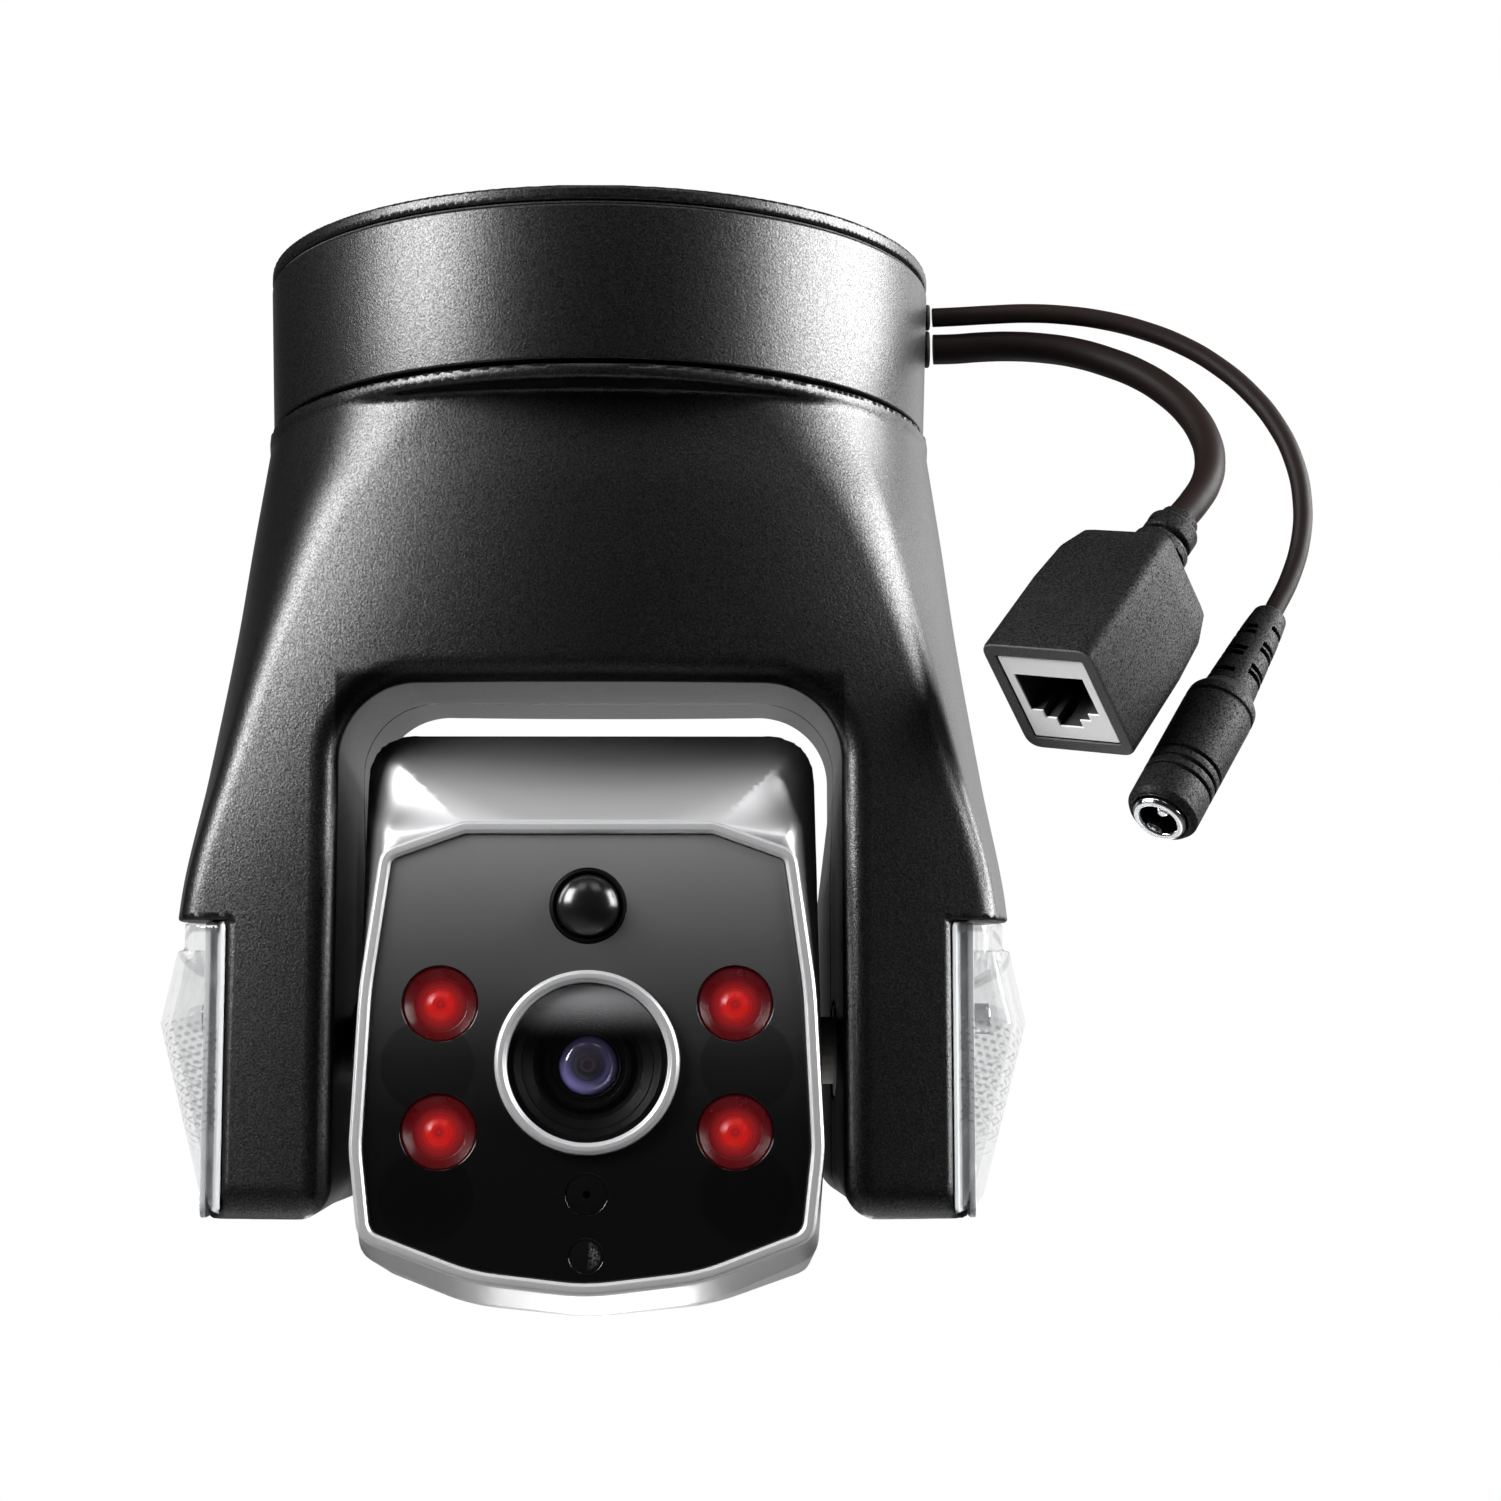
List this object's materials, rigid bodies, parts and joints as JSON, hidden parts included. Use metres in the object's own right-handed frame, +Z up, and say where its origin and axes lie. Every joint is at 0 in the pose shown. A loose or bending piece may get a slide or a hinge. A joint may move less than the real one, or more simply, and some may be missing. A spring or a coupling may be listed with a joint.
{
  "type": "pan and tilt security camera",
  "caption": "Ceiling-hung pan and tilt security camera: round base, two-armed yoke with side lamps, tilting head with lens, motion sensor and infra-red windows, and two pigtail leads.",
  "frame": {"origin": "centre of the ceiling face of the mounting plate, where the pan axis meets it", "axes": "+Z up into the ceiling along the pan axis, -Y towards the front (the way the lens looks), +X to the right seen from the front; the camera hangs below the origin"},
  "size_m": [0.1694, 0.103, 0.1582],
  "materials": {
    "casing": "fine textured black with a satin sheen",
    "head_shell": "dark metallic grey, smooth satin",
    "satin_silver": "satin silver",
    "panel": "gloss black window",
    "black_rubber": "matte black",
    "cable": "satin black-brown sheath",
    "connector": "fine textured black moulding",
    "socket_plate": "bright plated shield",
    "chrome": "polished",
    "steel": "plain steel",
    "brass": "turned",
    "acetal": "natural white moulding",
    "board": "green circuit board",
    "white_plate": "white moulding",
    "clear": "clear moulding with prisms inside",
    "red_window": "deep red infra-red window",
    "lens_glass": "coated violet glass",
    "smoked_dome": "gloss black",
    "led_body": "dark clear resin"
  },
  "bodies": {
    "base": {"mounting_plate": "casing", "plate_gasket": "black_rubber", "plate_lock_screw": "steel", "base_housing": "casing", "pan_bush": "acetal", "pan_motor": "steel", "main_board": "board", "network_grommet": "black_rubber", "power_grommet": "black_rubber", "network_cable": "cable", "network_socket_housing": "connector", "network_socket_insert": "socket_plate", "power_cable": "cable", "power_jack_housing": "connector", "power_jack_sleeve": "chrome", "power_jack_pin": "chrome"},
    "pan_pinion": {"pan_pinion": "brass"},
    "yoke": {"yoke_front_shell": "casing", "yoke_rear_shell": "casing", "yoke_screw_1": "steel", "yoke_screw_2": "steel", "yoke_screw_3": "steel", "yoke_screw_4": "steel", "pan_hub": "acetal", "pan_gear": "acetal", "tilt_motor": "steel", "tilt_bush_left": "acetal", "tilt_bush_right": "acetal", "lamp_plate_left": "white_plate", "lamp_plate_right": "white_plate", "lamp_led_left": "chrome", "lamp_led_right": "chrome", "lamp_cover_left": "clear", "lamp_cover_right": "clear"},
    "tilt_pinion": {"tilt_pinion": "brass"},
    "head": {"head_shell": "head_shell", "head_bezel": "satin_silver", "front_panel": "panel", "lens_ring": "satin_silver", "lens_window": "clear", "lens_baffle": "panel", "lens_barrel": "connector", "lens_glass": "lens_glass", "camera_board": "board", "led_board": "board", "motion_sensor_collar": "black_rubber", "motion_sensor_dome": "smoked_dome", "microphone_port": "smoked_dome", "light_sensor_window": "smoked_dome", "tilt_axle_left": "steel", "tilt_gear": "acetal", "ir_window_1": "red_window", "ir_led_1": "led_body", "ir_window_2": "red_window", "ir_led_2": "led_body", "ir_window_3": "red_window", "ir_led_3": "led_body", "ir_window_4": "red_window", "ir_led_4": "led_body"}
  },
  "joints": [
    {"name": "pan", "type": "hinge", "parent": "base", "child": "yoke", "pos_m": [0, 0, -0.0256], "axis": [0, 0, 1], "range_deg": [-170, 170]},
    {"name": "pan_drive", "type": "hinge", "parent": "base", "child": "pan_pinion", "pos_m": [0, 0.03, -0.02], "axis": [0, 0, 1], "range_deg": [-690, 690]},
    {"name": "tilt", "type": "hinge", "parent": "yoke", "child": "head", "pos_m": [0, 0, -0.118], "axis": [1, 0, 0], "range_deg": [-15, 90]},
    {"name": "tilt_drive", "type": "hinge", "parent": "yoke", "child": "tilt_pinion", "pos_m": [0.0487, 0, -0.095], "axis": [1, 0, 0], "range_deg": [-330, 60]}
  ],
  "couplings": [
    {"joint": "pan_drive", "follows": "pan", "ratio": -4},
    {"joint": "tilt_drive", "follows": "tilt", "ratio": -3.6}
  ]
}
